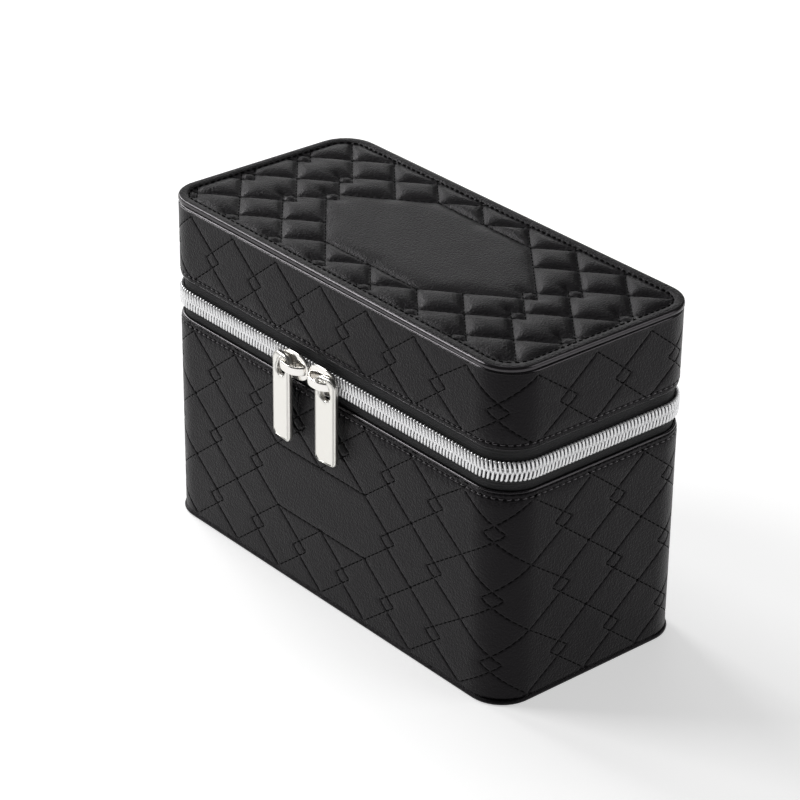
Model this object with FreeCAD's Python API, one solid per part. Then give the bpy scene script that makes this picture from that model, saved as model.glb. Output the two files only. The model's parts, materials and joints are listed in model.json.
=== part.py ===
import FreeCAD, Part
import math
import os
from FreeCAD import Vector

# Zipped leather jewellery case, in millimetres.
# The origin is on the floor under the middle of the case. +Z is up, +X runs along the length,
# the front with the zip pulls faces -Y, and the lid hinges along the back, at +Y.

# Overall size of the case, without the zip pulls
case_length = 180.0
case_width = 85.0
case_height = 125.5
corner_radius = 14.5
panel_corner_radius = 13.0

# Layers of the walls, from outside in
leather_thickness = 1.4
board_thickness = 2.0
lining_thickness = 0.8
layer_gap = 0.1
edge_round = 0.7
same_place = 1e-6

# Height of the body's leather edge, the opening that the zip spans above it, and how far the
# boards stand back from the leather's edges
body_rim = 80.25
zip_opening = 14.75
rim_setback = 0.25

# Bottom
base_panel_thickness = 1.8
base_board_thickness = 2.0
floor_pad_thickness = 3.0
pad_clearance = 0.3

# Top of the lid
quilt_thickness = 2.5
top_board_thickness = 2.0
lid_pad_thickness = 2.5
foam_thickness = 0.7
foam_margin = 8.0

# Quilting of the top panel: a lattice of stitched lines whose ends overlap in small diamonds
quilt_pitch_x = 23.6
quilt_pitch_y = 25.2
quilt_overlap = 3.6
quilt_centre_y = 2.3
puff_height = 1.2
border_width = 4.2
border_height = 0.6
border_round = 1.0
channel_share = 0.06
puff_shoulder_share = 0.78
puff_crown_share = 0.45
puff_shoulder_rise = 0.68
smallest_puff_area = 14.0

# Zip
tape_thickness = 0.8
tape_tuck = 4.25
tape_overhang = 2.4
tooth_thickness = 1.8
tooth_row_height = 3.0
tooth_row_gap = 1.4
zip_return = 3.0
zip_end_gap = 0.4

# Sliders, which stand head to head on the front
slider_meeting_x = -6.6
slider_head_gap = 0.4
slider_length = 14.4
slider_head_height = 10.2
slider_tail_height = 8.6
slider_plate = 1.3
slider_clearance = 0.3
slider_corner = 1.4
slider_post_length = 3.0
slider_post_height = 0.6
slider_post_setback = 1.2
slider_flange = 0.7
slider_flange_depth = 1.4

# Crowns and pulls
crown_leg_offset = 4.4
crown_leg_diameter = 2.2
crown_bar_height = 3.4
crown_bar_thickness = 1.3
crown_bar_overhang = 0.7
crown_bar_end_round = 1.4
crown_bar_round = 0.5
pull_width = 10.0
pull_thickness = 1.8
pull_drop = 30.6
pull_top = 3.6
pull_top_corner = 3.2
pull_bottom_corner = 2.2
pull_edge_round = 0.4
pull_eye_clearance = 0.3
pull_eye_radius = 2.3
pull_eye_drop = 2.6

# Lower compartments
support_thickness = 4.0
lower_divider_thickness = 2.4
lower_divider_count = 2
seat_gap = 0.3

# Lift-out tray
tray_height = 28.0
tray_wall = 2.5
tray_floor = 2.5
tray_recess = 4.0
tray_clearance = 1.4
tray_corner_radius = 12.5
tray_pad_thickness = 2.0
divider_thickness = 2.2
divider_setback = 3.0
divider_fit = 0.1
roll_count = 7
roll_pitch = 10.6
roll_width = 10.2
roll_height = 15.0
roll_margin = 1.5
tab_width = 12.0
tab_thickness = 0.8
tab_corner = 5.0
tab_rise = 6.0

# Insets of each wall layer from the case's outer faces
leather_in = leather_thickness
tape_out = leather_in + layer_gap
tape_in = tape_out + tape_thickness
board_out = leather_in + layer_gap
board_in = board_out + board_thickness
lip_out = tape_in + layer_gap
lining_out = board_in + layer_gap
lining_in = lining_out + lining_thickness
teeth_in = leather_in
teeth_out = teeth_in - tooth_thickness

# Levels that follow from the sizes above
base_top = base_panel_thickness + base_board_thickness
floor_top = base_top + floor_pad_thickness
lid_rim = body_rim + zip_opening
zip_level = (body_rim + lid_rim) / 2
band_top = case_height - quilt_thickness
lid_wall_top = band_top - top_board_thickness
lid_pad_bottom = lid_wall_top - lid_pad_thickness
tray_top = body_rim - tray_recess
tray_bottom = tray_top - tray_height
hinge_length = case_length - 2 * (corner_radius + zip_return)

# Depths of the slider, crown and pull, from the zip towards the viewer
front_face = -case_width / 2
chain_front = front_face + teeth_out
slider_plate_back = chain_front - slider_clearance
slider_plate_front = slider_plate_back - slider_plate
slider_inner_front = front_face + tape_in + slider_clearance
pull_back = slider_plate_front - slider_clearance
pull_front = pull_back - pull_thickness
crown_bar_back = pull_front - slider_clearance

# Tray and the room inside it
tray_length = case_length - 2 * (lining_in + tray_clearance)
tray_width = case_width - 2 * (lining_in + tray_clearance)
cavity_length = tray_length - 2 * tray_wall
cavity_width = tray_width - 2 * tray_wall
cavity_radius = tray_corner_radius - tray_wall
cavity_floor = tray_bottom + tray_floor
pad_top = cavity_floor + tray_pad_thickness
divider_top = tray_top - divider_setback
ring_bay_end = -cavity_length / 2 + 2 * roll_margin + roll_count * roll_pitch


def rounded_outline(length, width, radius, level):
    """Closed wire of a rounded rectangle about the Z axis."""
    half_x = length / 2
    half_y = width / 2
    diagonal = radius * (1 - math.sqrt(0.5))
    edges = []
    for start_x, start_y, end_x, end_y in ((1, -1, 1, 1), (1, 1, -1, 1), (-1, 1, -1, -1), (-1, -1, 1, -1)):
        along_y = start_x == end_x
        cut_x = 0 if along_y else radius
        cut_y = radius if along_y else 0
        start = Vector(start_x * (half_x - cut_x), start_y * (half_y - cut_y), level)
        end = Vector(end_x * (half_x - cut_x), end_y * (half_y - cut_y), level)
        middle = Vector(end_x * (half_x - diagonal), end_y * (half_y - diagonal), level)
        next_cut_x = radius if along_y else 0
        next_cut_y = 0 if along_y else radius
        after = Vector(end_x * (half_x - next_cut_x), end_y * (half_y - next_cut_y), level)
        edges.append(Part.LineSegment(start, end).toShape())
        edges.append(Part.Arc(end, middle, after).toShape())
    return Part.Wire(edges)


def prism(wire, height):
    """Solid made by raising a closed flat wire."""
    return Part.Face(wire).extrude(Vector(0, 0, height))


def plate(inset, radius, low, high):
    """Flat plate with the case's outline, drawn in by an inset."""
    outline = rounded_outline(case_length - 2 * inset, case_width - 2 * inset, radius - inset, low)
    return prism(outline, high - low)


def ring(outer_inset, inner_inset, low, high):
    """Wall layer that follows the case's outline between two insets."""
    outer = plate(outer_inset, corner_radius, low, high)
    return outer.cut(plate(inner_inset, corner_radius, low, high))


def box(low, high):
    """Box between two corners."""
    return Part.makeBox(high[0] - low[0], high[1] - low[1], high[2] - low[2], Vector(*low))


def round_outer_edge(shape, outline_radius, level, radius):
    """Round the edges at one level that lie on the case's outer outline."""
    outline = rounded_outline(case_length, case_width, outline_radius, level)
    chosen = []
    for edge in shape.Edges:
        middle = edge.valueAt((edge.FirstParameter + edge.LastParameter) / 2)
        level_edge = edge.BoundBox.ZLength < same_place
        if level_edge and Part.Vertex(middle).distToShape(outline)[0] < same_place:
            chosen.append(edge)
    return shape.makeFillet(radius, chosen)


def open_at_back(shape):
    """Cut away the stretch of a wall layer where the leather hinge runs."""
    half = hinge_length / 2 + zip_end_gap
    return shape.cut(box((-half, 0, 0), (half, case_width, case_height)))


def make_body():
    """Base, walls, lining and lower compartments."""
    nodes = {}
    nodes["base_panel"] = plate(0, panel_corner_radius, 0, base_panel_thickness)
    nodes["base_board"] = plate(board_in + layer_gap, corner_radius, base_panel_thickness, base_top)
    cover = ring(0, leather_in, base_panel_thickness, body_rim)
    nodes["body_leather"] = round_outer_edge(cover, corner_radius, body_rim, edge_round)
    rebate = body_rim - tape_tuck
    wall = ring(board_out, board_in, base_panel_thickness, rebate)
    lip = ring(lip_out, board_in, rebate, body_rim - rim_setback)
    nodes["body_wall_board"] = wall.fuse(lip).removeSplitter()
    nodes["body_lining"] = ring(lining_out, lining_in, base_top, body_rim - rim_setback)
    nodes["floor_pad"] = plate(lining_in + pad_clearance, corner_radius, base_top, floor_top)
    nodes.update(make_lower_boards())
    return nodes


def make_lower_boards():
    """End boards that carry the tray, and the dividers between them."""
    top = tray_bottom - seat_gap
    room = plate(lining_in + pad_clearance, corner_radius, floor_top, top)
    inner_half = case_length / 2 - lining_in
    nodes = {}
    for side, name in ((-1, "tray_support_left"), (1, "tray_support_right")):
        faces = sorted((side * inner_half, side * (inner_half - support_thickness)))
        slab = box((faces[0], -case_width, floor_top), (faces[1], case_width, top))
        nodes[name] = room.common(slab)
    clear_length = 2 * (inner_half - support_thickness)
    spacing = clear_length / (lower_divider_count + 1)
    for index in range(lower_divider_count):
        middle = -clear_length / 2 + (index + 1) * spacing
        low = (middle - lower_divider_thickness / 2, -case_width, floor_top)
        high = (middle + lower_divider_thickness / 2, case_width, top)
        nodes["lower_divider_%d" % (index + 1)] = room.common(box(low, high))
    return nodes


def make_zip():
    """Tapes and tooth rows of the two halves of the zip."""
    lower_edge = zip_level - tooth_row_gap / 2
    upper_edge = zip_level + tooth_row_gap / 2
    lower_foot = lower_edge - tooth_row_height
    upper_foot = upper_edge + tooth_row_height
    lower_tape = ring(tape_out, tape_in, body_rim - tape_tuck, lower_foot + tape_overhang)
    upper_tape = ring(tape_out, tape_in, upper_foot - tape_overhang, lid_rim + tape_tuck)
    lower_teeth = ring(teeth_out, teeth_in, lower_foot, lower_edge)
    upper_teeth = ring(teeth_out, teeth_in, upper_edge, upper_foot)
    nodes = {
        "zip_tape_lower": lower_tape,
        "zip_tape_upper": upper_tape,
        "zip_teeth_lower": lower_teeth,
        "zip_teeth_upper": upper_teeth,
    }
    for name in nodes:
        nodes[name] = open_at_back(nodes[name])
    return nodes


def make_hinge():
    """Leather hinge between the two rims, and the lining tucked into both boards behind it."""
    half = hinge_length / 2
    back = case_width / 2
    strip = box((-half, back - leather_in, body_rim), (half, back, lid_rim))
    low = (-half, back - tape_in, body_rim - tape_tuck)
    high = (half, back - tape_out, lid_rim + tape_tuck)
    return {"hinge_strip": strip, "hinge_lining": box(low, high)}


def make_lid():
    """Boards, cover, lining and padded top of the lid."""
    nodes = {}
    rebate = lid_rim + tape_tuck
    wall = ring(board_out, board_in, rebate, lid_wall_top)
    lip = ring(lip_out, board_in, lid_rim + rim_setback, rebate)
    nodes["lid_wall_board"] = wall.fuse(lip).removeSplitter()
    nodes["lid_top_board"] = plate(board_out, corner_radius, lid_wall_top, band_top)
    cover = ring(0, leather_in, lid_rim, band_top)
    nodes["lid_leather"] = round_outer_edge(cover, corner_radius, lid_rim, edge_round)
    nodes["lid_lining"] = ring(lining_out, lining_in, lid_rim + rim_setback, lid_wall_top)
    nodes["lid_pad"] = plate(lining_in + pad_clearance, corner_radius, lid_pad_bottom, lid_wall_top)
    nodes["top_foam"] = plate(foam_margin, panel_corner_radius, band_top, band_top + foam_thickness)
    nodes["top_quilt"] = make_quilt()
    return nodes


def polygon_face(points, level):
    """Flat face with straight sides through the given points."""
    corners = [Vector(x, y, level) for x, y in points]
    return Part.Face(Part.makePolygon(corners + corners[:1]))


def quilt_cells():
    """Outlines of the stitched cells between the small overlap diamonds."""
    slope = quilt_pitch_y / (quilt_pitch_x + 2 * quilt_overlap)
    tip = quilt_overlap * slope
    half_x = quilt_pitch_x / 2
    half_y = quilt_pitch_y / 2
    columns = math.ceil(case_length / quilt_pitch_x / 2) + 1
    rows = math.ceil(case_width / quilt_pitch_y / 2) + 1
    cells = []
    for row in range(-rows, rows + 1):
        y = quilt_centre_y + (row + 0.5) * quilt_pitch_y
        for column in range(-columns, columns + 1):
            x = (column + 0.5) * quilt_pitch_x
            tall = [(x, y + tip), (x + half_x, y + half_y)]
            tall += [(x, y + quilt_pitch_y - tip), (x - half_x, y + half_y)]
            cells.append(tall)
            left = x
            right = x + quilt_pitch_x
            wide = [(left, y + tip), (left + half_x, y + half_y), (right, y + tip)]
            wide += [(right - quilt_overlap, y), (right, y - tip), (right - half_x, y - half_y)]
            wide += [(left, y - tip), (left + quilt_overlap, y)]
            cells.append(wide)
    return cells


def quilt_field():
    """Corners of the plain six-sided field in the middle of the top."""
    side_x = quilt_pitch_x
    apex_x = side_x + quilt_pitch_x + 2 * quilt_overlap
    high = quilt_centre_y + quilt_pitch_y
    low = quilt_centre_y - quilt_pitch_y
    upper = [(-side_x, high), (side_x, high), (apex_x, quilt_centre_y)]
    return upper + [(side_x, low), (-side_x, low), (-apex_x, quilt_centre_y)]


def puff(face):
    """Padded cell that swells from its stitched outline to a crown."""
    wire = face.OuterWire
    centre = face.CenterOfMass
    sections = []
    steps = ((1 - channel_share, 0), (puff_shoulder_share, puff_shoulder_rise), (puff_crown_share, 1))
    for share, rise in steps:
        section = wire.scaled(share, centre)
        section.translate(Vector(0, 0, rise * puff_height))
        sections.append(section)
    return Part.makeLoft(sections, True, True)


def make_quilt():
    """Top panel: a bordered plate whose stitched cells stand up as puffs."""
    seam = case_height - puff_height
    border_top = seam + border_height
    base = plate(0, panel_corner_radius, band_top, border_top)
    base = base.cut(plate(border_width, panel_corner_radius, seam, border_top))
    base = round_outer_edge(base, panel_corner_radius, border_top, border_round)
    pocket = plate(foam_margin - layer_gap, panel_corner_radius, band_top, band_top + foam_thickness)
    length = case_length - 2 * border_width
    width = case_width - 2 * border_width
    inside = Part.Face(rounded_outline(length, width, panel_corner_radius - border_width, seam))
    field = inside.common(polygon_face(quilt_field(), seam))
    around = inside.cut(polygon_face(quilt_field(), seam))
    faces = list(field.Faces)
    for cell in quilt_cells():
        faces += around.common(polygon_face(cell, seam)).Faces
    puffs = [puff(face) for face in faces if face.Area > smallest_puff_area]
    return base.cut(pocket).fuse(puffs).removeSplitter()


def upright_outline(points, back, thickness):
    """Solid with an outline drawn in the front view, reaching from one depth towards the viewer."""
    corners = [Vector(x, back, z) for x, z in points]
    face = Part.Face(Part.makePolygon(corners + corners[:1]))
    return face.extrude(Vector(0, -thickness, 0))


def edges_along_y(shape):
    """Straight edges that run from front to back."""
    chosen = []
    for edge in shape.Edges:
        ends = edge.BoundBox
        if ends.XLength < same_place and ends.ZLength < same_place:
            chosen.append(edge)
    return chosen


def slider_centre(side):
    """Middle of a slider along the zip; the side is -1 on the left and 1 on the right."""
    return slider_meeting_x + side * (slider_head_gap + slider_length) / 2


def make_slider(side):
    """Slider: a front and a back plate, joined by a post between the tooth rows."""
    centre = slider_centre(side)
    head = centre - side * slider_length / 2
    tail = centre + side * slider_length / 2
    head_half = slider_head_height / 2
    tail_half = slider_tail_height / 2
    outline = [(head, zip_level - head_half), (tail, zip_level - tail_half)]
    outline += [(tail, zip_level + tail_half), (head, zip_level + head_half)]
    front = upright_outline(outline, slider_plate_back, slider_plate)
    front = front.makeFillet(slider_corner, edges_along_y(front))
    back = upright_outline(outline, slider_inner_front + slider_plate, slider_plate)
    back = back.makeFillet(slider_corner, edges_along_y(back))
    near = head + side * slider_post_setback
    far = near + side * slider_post_length
    post_half = slider_post_height / 2
    low = (min(near, far), slider_plate_back, zip_level - post_half)
    high = (max(near, far), slider_inner_front, zip_level + post_half)
    post = box(low, high)
    foot = zip_level - tooth_row_gap / 2 - tooth_row_height - slider_clearance
    inner = centre + side * slider_corner
    outer = tail - side * slider_corner
    low = (min(inner, outer), slider_plate_back, foot - slider_flange)
    high = (max(inner, outer), slider_plate_back + slider_flange_depth, foot)
    flange = box(low, high).common(
        upright_outline(outline, slider_plate_back + slider_flange_depth, slider_flange_depth)
    )
    return front.fuse([back, post, flange]).removeSplitter()


def make_crown(side):
    """Bridge on the slider's front plate: two legs and a bar that keep the pull's eye in."""
    centre = slider_centre(side)
    radius = crown_leg_diameter / 2
    legs = []
    for place in (-1, 1):
        foot = Vector(centre + place * crown_leg_offset, slider_plate_front, zip_level)
        legs.append(Part.makeCylinder(radius, slider_plate_front - crown_bar_back, foot, Vector(0, -1, 0)))
    reach = crown_leg_offset + radius + crown_bar_overhang
    low = (centre - reach, crown_bar_back - crown_bar_thickness, zip_level - crown_bar_height / 2)
    high = (centre + reach, crown_bar_back, zip_level + crown_bar_height / 2)
    bar = box(low, high)
    ends = edges_along_y(bar)
    bar = bar.makeFillet(crown_bar_end_round, ends)
    rim = [edge for edge in bar.Edges if abs(edge.BoundBox.YMax - low[1]) < same_place]
    bar = bar.makeFillet(crown_bar_round, rim)
    return bar.fuse(legs).removeSplitter()


def pull_axis_x(side):
    """Place along the zip of the crown leg that a pull hangs from."""
    return slider_centre(side) + side * crown_leg_offset


def make_pull(side):
    """Flat pull with an eye round the outer leg of its slider's crown."""
    axis_x = pull_axis_x(side)
    half = pull_width / 2
    bottom = zip_level - pull_drop
    top = zip_level + pull_top
    outline = [(axis_x - half, bottom), (axis_x + half, bottom), (axis_x + half, top), (axis_x - half, top)]
    blank = upright_outline(outline, pull_back, pull_thickness)
    upper = [edge for edge in edges_along_y(blank) if edge.CenterOfMass.z > zip_level]
    blank = blank.makeFillet(pull_top_corner, upper)
    lower = [edge for edge in edges_along_y(blank) if abs(edge.CenterOfMass.z - bottom) < same_place]
    blank = blank.makeFillet(pull_bottom_corner, lower)
    rim = [edge for edge in blank.Edges if abs(edge.BoundBox.YMax - pull_front) < same_place]
    blank = blank.makeFillet(pull_edge_round, rim)
    hanger = crown_leg_diameter / 2 + pull_eye_clearance
    seat = Part.makeCylinder(hanger, pull_thickness, Vector(axis_x, pull_back, zip_level), Vector(0, -1, 0))
    low = Vector(axis_x, pull_back, zip_level - pull_eye_drop)
    opening = Part.makeCylinder(pull_eye_radius, pull_thickness, low, Vector(0, -1, 0))
    return blank.cut([seat, opening])


def cavity(clearance, low, high):
    """Room inside the tray, drawn in by a clearance from its walls."""
    length = cavity_length - 2 * clearance
    width = cavity_width - 2 * clearance
    return prism(rounded_outline(length, width, cavity_radius - clearance, low), high - low)


def make_tray():
    """Lift-out tray with its pad, dividers and lifting tabs."""
    nodes = {}
    block = prism(rounded_outline(tray_length, tray_width, tray_corner_radius, tray_bottom), tray_height)
    nodes["tray_shell"] = block.cut(cavity(0, cavity_floor, tray_top))
    tab_room = tab_thickness + pad_clearance
    nodes["tray_pad"] = cavity(tab_room, cavity_floor, pad_top)
    room = cavity(divider_fit, pad_top, divider_top)
    low = (ring_bay_end, -case_width, pad_top)
    high = (ring_bay_end + divider_thickness, case_width, divider_top)
    nodes["tray_partition"] = room.common(box(low, high))
    nodes.update(make_tray_dividers(room))
    nodes.update(make_ring_rolls())
    nodes.update(make_tabs())
    return nodes


def make_tray_dividers(room):
    """Two boards that slot into each other halfway up."""
    start = ring_bay_end + divider_thickness
    end = cavity_length / 2 - tab_thickness
    half = divider_thickness / 2
    slot = half + divider_fit
    middle_x = (start + end) / 2
    middle_z = (pad_top + divider_top) / 2
    long_board = box((start + divider_fit, -half, pad_top), (end - divider_fit, half, divider_top))
    cross_board = box((middle_x - half, -case_width, pad_top), (middle_x + half, case_width, divider_top))
    upper_slot = box((middle_x - slot, -slot, middle_z), (middle_x + slot, slot, divider_top))
    lower_slot = box((middle_x - slot, -slot, pad_top), (middle_x + slot, slot, middle_z))
    return {
        "tray_divider_long": room.common(long_board).cut(upper_slot),
        "tray_divider_cross": room.common(cross_board).cut(lower_slot),
    }


def make_ring_rolls():
    """Padded rolls side by side; rings are pushed in between them."""
    room = cavity(divider_fit, pad_top, pad_top + roll_height)
    half = roll_width / 2
    shoulder = pad_top + roll_height - half
    corner = half * math.sqrt(0.5)
    nodes = {}
    for index in range(roll_count):
        x = -cavity_length / 2 + roll_margin + (index + 0.5) * roll_pitch
        y = -case_width / 2
        left = Vector(x - half, y, shoulder)
        right = Vector(x + half, y, shoulder)
        crown = Vector(x, y, shoulder + half)
        left_arc = Part.Arc(left, Vector(x - corner, y, shoulder + corner), crown).toShape()
        right_arc = Part.Arc(crown, Vector(x + corner, y, shoulder + corner), right).toShape()
        foot_right = Vector(x + half, y, pad_top)
        foot_left = Vector(x - half, y, pad_top)
        sides = Part.makePolygon([right, foot_right, foot_left, left]).Edges
        section = Part.Face(Part.Wire([left_arc, right_arc] + sides))
        nodes["ring_roll_%d" % (index + 1)] = room.common(section.extrude(Vector(0, case_width, 0)))
    return nodes


def make_tabs():
    """Ribbon tabs on the inner faces of the tray's end walls."""
    half = tab_width / 2
    nodes = {}
    for side, name in ((-1, "tray_tab_left"), (1, "tray_tab_right")):
        face = side * cavity_length / 2
        faces = sorted((face, face - side * tab_thickness))
        tab = box((faces[0], -half, cavity_floor), (faces[1], half, tray_top + tab_rise))
        top = [edge for edge in tab.Edges if edge.BoundBox.XLength > tab_thickness / 2]
        top = [edge for edge in top if edge.CenterOfMass.z > tray_top]
        nodes[name] = tab.makeFillet(tab_corner, top)
    return nodes


def make_all():
    """Every piece of the case by name."""
    nodes = {}
    nodes.update(make_body())
    nodes.update(make_zip())
    nodes.update(make_hinge())
    nodes.update(make_lid())
    for side, name in ((-1, "left"), (1, "right")):
        nodes["slider_%s_body" % name] = make_slider(side)
        nodes["slider_%s_crown" % name] = make_crown(side)
        nodes["pull_%s" % name] = make_pull(side)
    nodes.update(make_tray())
    return nodes


os.makedirs("parts", exist_ok=True)
for node_name, shape in make_all().items():
    print("%-20s valid %s, solids %d" % (node_name, shape.isValid(), len(shape.Solids)))
    shape.exportStep("parts/%s.step" % node_name)
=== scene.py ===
import json
import math

import bpy
import numpy as np
from mathutils import Matrix, Vector
from mathutils.geometry import delaunay_2d_cdt


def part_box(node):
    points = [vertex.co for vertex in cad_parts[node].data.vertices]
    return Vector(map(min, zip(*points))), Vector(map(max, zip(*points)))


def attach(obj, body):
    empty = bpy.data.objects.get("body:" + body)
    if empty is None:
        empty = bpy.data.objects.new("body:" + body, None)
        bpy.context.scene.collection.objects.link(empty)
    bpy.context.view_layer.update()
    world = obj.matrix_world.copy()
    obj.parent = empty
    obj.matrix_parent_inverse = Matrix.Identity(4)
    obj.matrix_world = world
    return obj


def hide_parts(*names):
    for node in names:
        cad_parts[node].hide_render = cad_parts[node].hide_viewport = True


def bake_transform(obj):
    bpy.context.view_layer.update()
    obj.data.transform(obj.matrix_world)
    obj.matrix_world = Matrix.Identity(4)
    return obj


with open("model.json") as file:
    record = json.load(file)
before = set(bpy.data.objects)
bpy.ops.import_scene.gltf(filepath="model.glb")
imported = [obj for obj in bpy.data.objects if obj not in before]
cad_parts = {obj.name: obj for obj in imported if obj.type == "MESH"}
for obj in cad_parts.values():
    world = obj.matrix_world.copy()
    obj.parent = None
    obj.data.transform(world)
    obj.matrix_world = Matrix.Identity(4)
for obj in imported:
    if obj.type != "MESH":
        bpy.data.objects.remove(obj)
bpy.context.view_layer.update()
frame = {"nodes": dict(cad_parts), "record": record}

# Shapes are in millimetres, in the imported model's frame, until new_piece turns them to metres
MM = 0.001


def box_mm(node_name):
    """Lowest and highest corner of a CAD node."""
    low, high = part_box(node_name)
    return np.array(low) / MM, np.array(high) / MM


def heights(node_name):
    """Lowest and highest level of a CAD node."""
    low, high = box_mm(node_name)
    return low[2], high[2]


# Case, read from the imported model
HALF_X, HALF_Y, BODY_RIM = box_mm("body_leather")[1]
LID_RIM = heights("lid_leather")[0]
TOP_FOOT, CROWN_TOP = heights("top_quilt")
ZIP_LEVEL = (BODY_RIM + LID_RIM) / 2
WALL_RADIUS = 14.5
PANEL_RADIUS = 13.0

# Stitched lattice: pitch along the case, rise of a line over one pitch, and how far lines run past it
PITCH = 23.6
OVERLAP = 3.6
WALL_RISE = 24.6
TOP_RISE = 25.2
STITCH = 2.6
FRONT_CENTRE = -2.2
BODY_ROW = 40.0
LID_ROW = 108.7
TOP_CENTRE_Y = 2.3
BODY_BORDER = 77.7
LID_BORDER = 97.3
TOP_BORDER = 4.3

# The lattice is stretched a little from its last front diamond to the first one on the right side
STRETCH_FROM = FRONT_CENTRE + 2.5 * PITCH
STRETCH_TO = 110.4

scene = bpy.context.scene


# Materials

def node(tree, kind, inputs=None, **settings):
    """New shader node with its settings and socket values; a socket as a value is linked."""
    made = tree.nodes.new("ShaderNode" + kind)
    for key, value in settings.items():
        setattr(made, key, value)
    for key, value in (inputs or {}).items():
        if isinstance(value, bpy.types.NodeSocket):
            tree.links.new(value, made.inputs[key])
        else:
            made.inputs[key].default_value = value
    return made


class Surface:
    """Principled material, made of plain values, textures in object space, and bumps."""

    def __init__(self, name, colour, roughness, metallic=0.0, **sockets):
        self.material = bpy.data.materials.new(name)
        self.material.use_nodes = True
        self.tree = self.material.node_tree
        self.inputs = self.tree.nodes["Principled BSDF"].inputs
        self.place = node(self.tree, "TexCoord").outputs["Object"]
        sockets.update(Base_Color=(*colour, 1.0), Roughness=roughness, Metallic=metallic)
        for socket, value in sockets.items():
            self.inputs[socket.replace("_", " ")].default_value = value

    def noise(self, scale, detail):
        """Cloudy noise from 0 to 1."""
        inputs = {"Vector": self.place, "Scale": scale, "Detail": detail}
        return node(self.tree, "TexNoise", inputs).outputs["Fac"]

    def ribs(self, scale, distortion=0.0):
        """Level ribs from 0 to 1."""
        inputs = {"Vector": self.place, "Scale": scale, "Distortion": distortion}
        return node(self.tree, "TexWave", inputs, bands_direction="Z").outputs["Fac"]

    def cells(self, scale, feature="F1"):
        """Distance from the middles of irregular cells."""
        inputs = {"Vector": self.place, "Scale": scale}
        return node(self.tree, "TexVoronoi", inputs, feature=feature).outputs["Distance"]

    def vary_roughness(self, value, low, high):
        """Roughness from low to high by a 0 to 1 socket."""
        wide = node(self.tree, "MapRange", {"Value": value, "To Min": low, "To Max": high})
        self.tree.links.new(wide.outputs["Result"], self.inputs["Roughness"])

    def vary_colour(self, value, dark, light):
        """Colour between dark and light by a 0 to 1 socket."""
        ramp = node(self.tree, "ValToRGB", {"Fac": value})
        ramp.color_ramp.elements[0].color = (*dark, 1.0)
        ramp.color_ramp.elements[1].color = (*light, 1.0)
        self.tree.links.new(ramp.outputs["Color"], self.inputs["Base Color"])

    def bumps(self, *layers):
        """Chains (height socket, depth in metres) layers of bump into the normal."""
        inputs = {"Strength": 1.0}
        for height, depth in layers:
            inputs.update({"Height": height, "Distance": depth})
            inputs["Normal"] = node(self.tree, "Bump", inputs).outputs["Normal"]
        self.tree.links.new(inputs["Normal"], self.inputs["Normal"])


def leather_surface(name, low, high, gloss, grain):
    """Black grained leather: pebbles, fine creases and patchy sheen, with roughness from low to high."""
    sheen = (1.0, 0.94, 1.0, 1.0)
    hide = Surface(name, (0.005, 0.0045, 0.005), low, Specular_IOR_Level=gloss, Specular_Tint=sheen)
    patches = hide.noise(90.0, 4.0)
    hide.vary_roughness(patches, low, high)
    hide.vary_colour(patches, (0.004, 0.0037, 0.0043), (0.0065, 0.006, 0.0068))
    hide.bumps((hide.cells(1600.0, "SMOOTH_F1"), -1.2 * grain), (hide.noise(2300.0, 3.0), grain))
    return hide


def metal_surface(name, colour, low, high, scale):
    """Plated metal whose gloss varies a little over the surface."""
    metal = Surface(name, colour, low, 1.0)
    marks = metal.noise(scale, 4.0)
    metal.vary_roughness(marks, low, high)
    metal.bumps((marks, 0.000003))
    return metal


leather = leather_surface("black_leather", 0.30, 0.44, 0.138, 0.00012)
polished_edge = leather_surface("polished_edge", 0.14, 0.22, 0.6, 0.00002)
nickel = metal_surface("nickel", (0.82, 0.80, 0.77), 0.10, 0.18, 300.0)
satin = metal_surface("satin_nickel", (0.80, 0.785, 0.745), 0.30, 0.38, 900.0)

# Twisted black sewing thread
thread = Surface("black_thread", (0.002, 0.002, 0.002), 0.85, Specular_IOR_Level=0.05)
thread.bumps((thread.noise(4000.0, 2.0), 0.0001))

# Black woven zip tape with ribs along it
tape = Surface("zip_tape", (0.008, 0.008, 0.009), 0.75)
tape.bumps((tape.ribs(330.0, 0.3), 0.00012), (tape.noise(1800.0, 1.0), 0.0001))

# Silver metallised plastic of the zip's coil
coil = Surface("zip_coil", (0.95, 0.95, 0.96), 0.28, 0.6)
coil.vary_roughness(coil.noise(700.0, 2.0), 0.22, 0.36)

# Warm beige suede-like lining with a brushed nap
suede = Surface("lining", (0.55, 0.46, 0.37), 0.85, Sheen_Weight=0.35)
suede.vary_colour(suede.noise(60.0, 5.0), (0.50, 0.415, 0.33), (0.62, 0.525, 0.43))
suede.bumps((suede.noise(2600.0, 2.0), 0.00015))

# Grey pressed board
board = Surface("board", (0.30, 0.28, 0.25), 0.9)
pulp = board.noise(500.0, 5.0)
board.vary_colour(pulp, (0.24, 0.22, 0.19), (0.36, 0.34, 0.30))
board.bumps((pulp, 0.0001))

# Beige ribbon with fine cross ribs
ribbon = Surface("ribbon", (0.46, 0.37, 0.28), 0.5, Sheen_Weight=0.3)
ribbon.bumps((ribbon.ribs(420.0), 0.00012))

# Cream upholstery foam with open cells
foam = Surface("foam", (0.70, 0.66, 0.55), 0.95)
pores = foam.cells(900.0)
foam.vary_colour(pores, (0.58, 0.54, 0.44), (0.76, 0.72, 0.62))
foam.bumps((pores, 0.0003))


# Pieces

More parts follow.
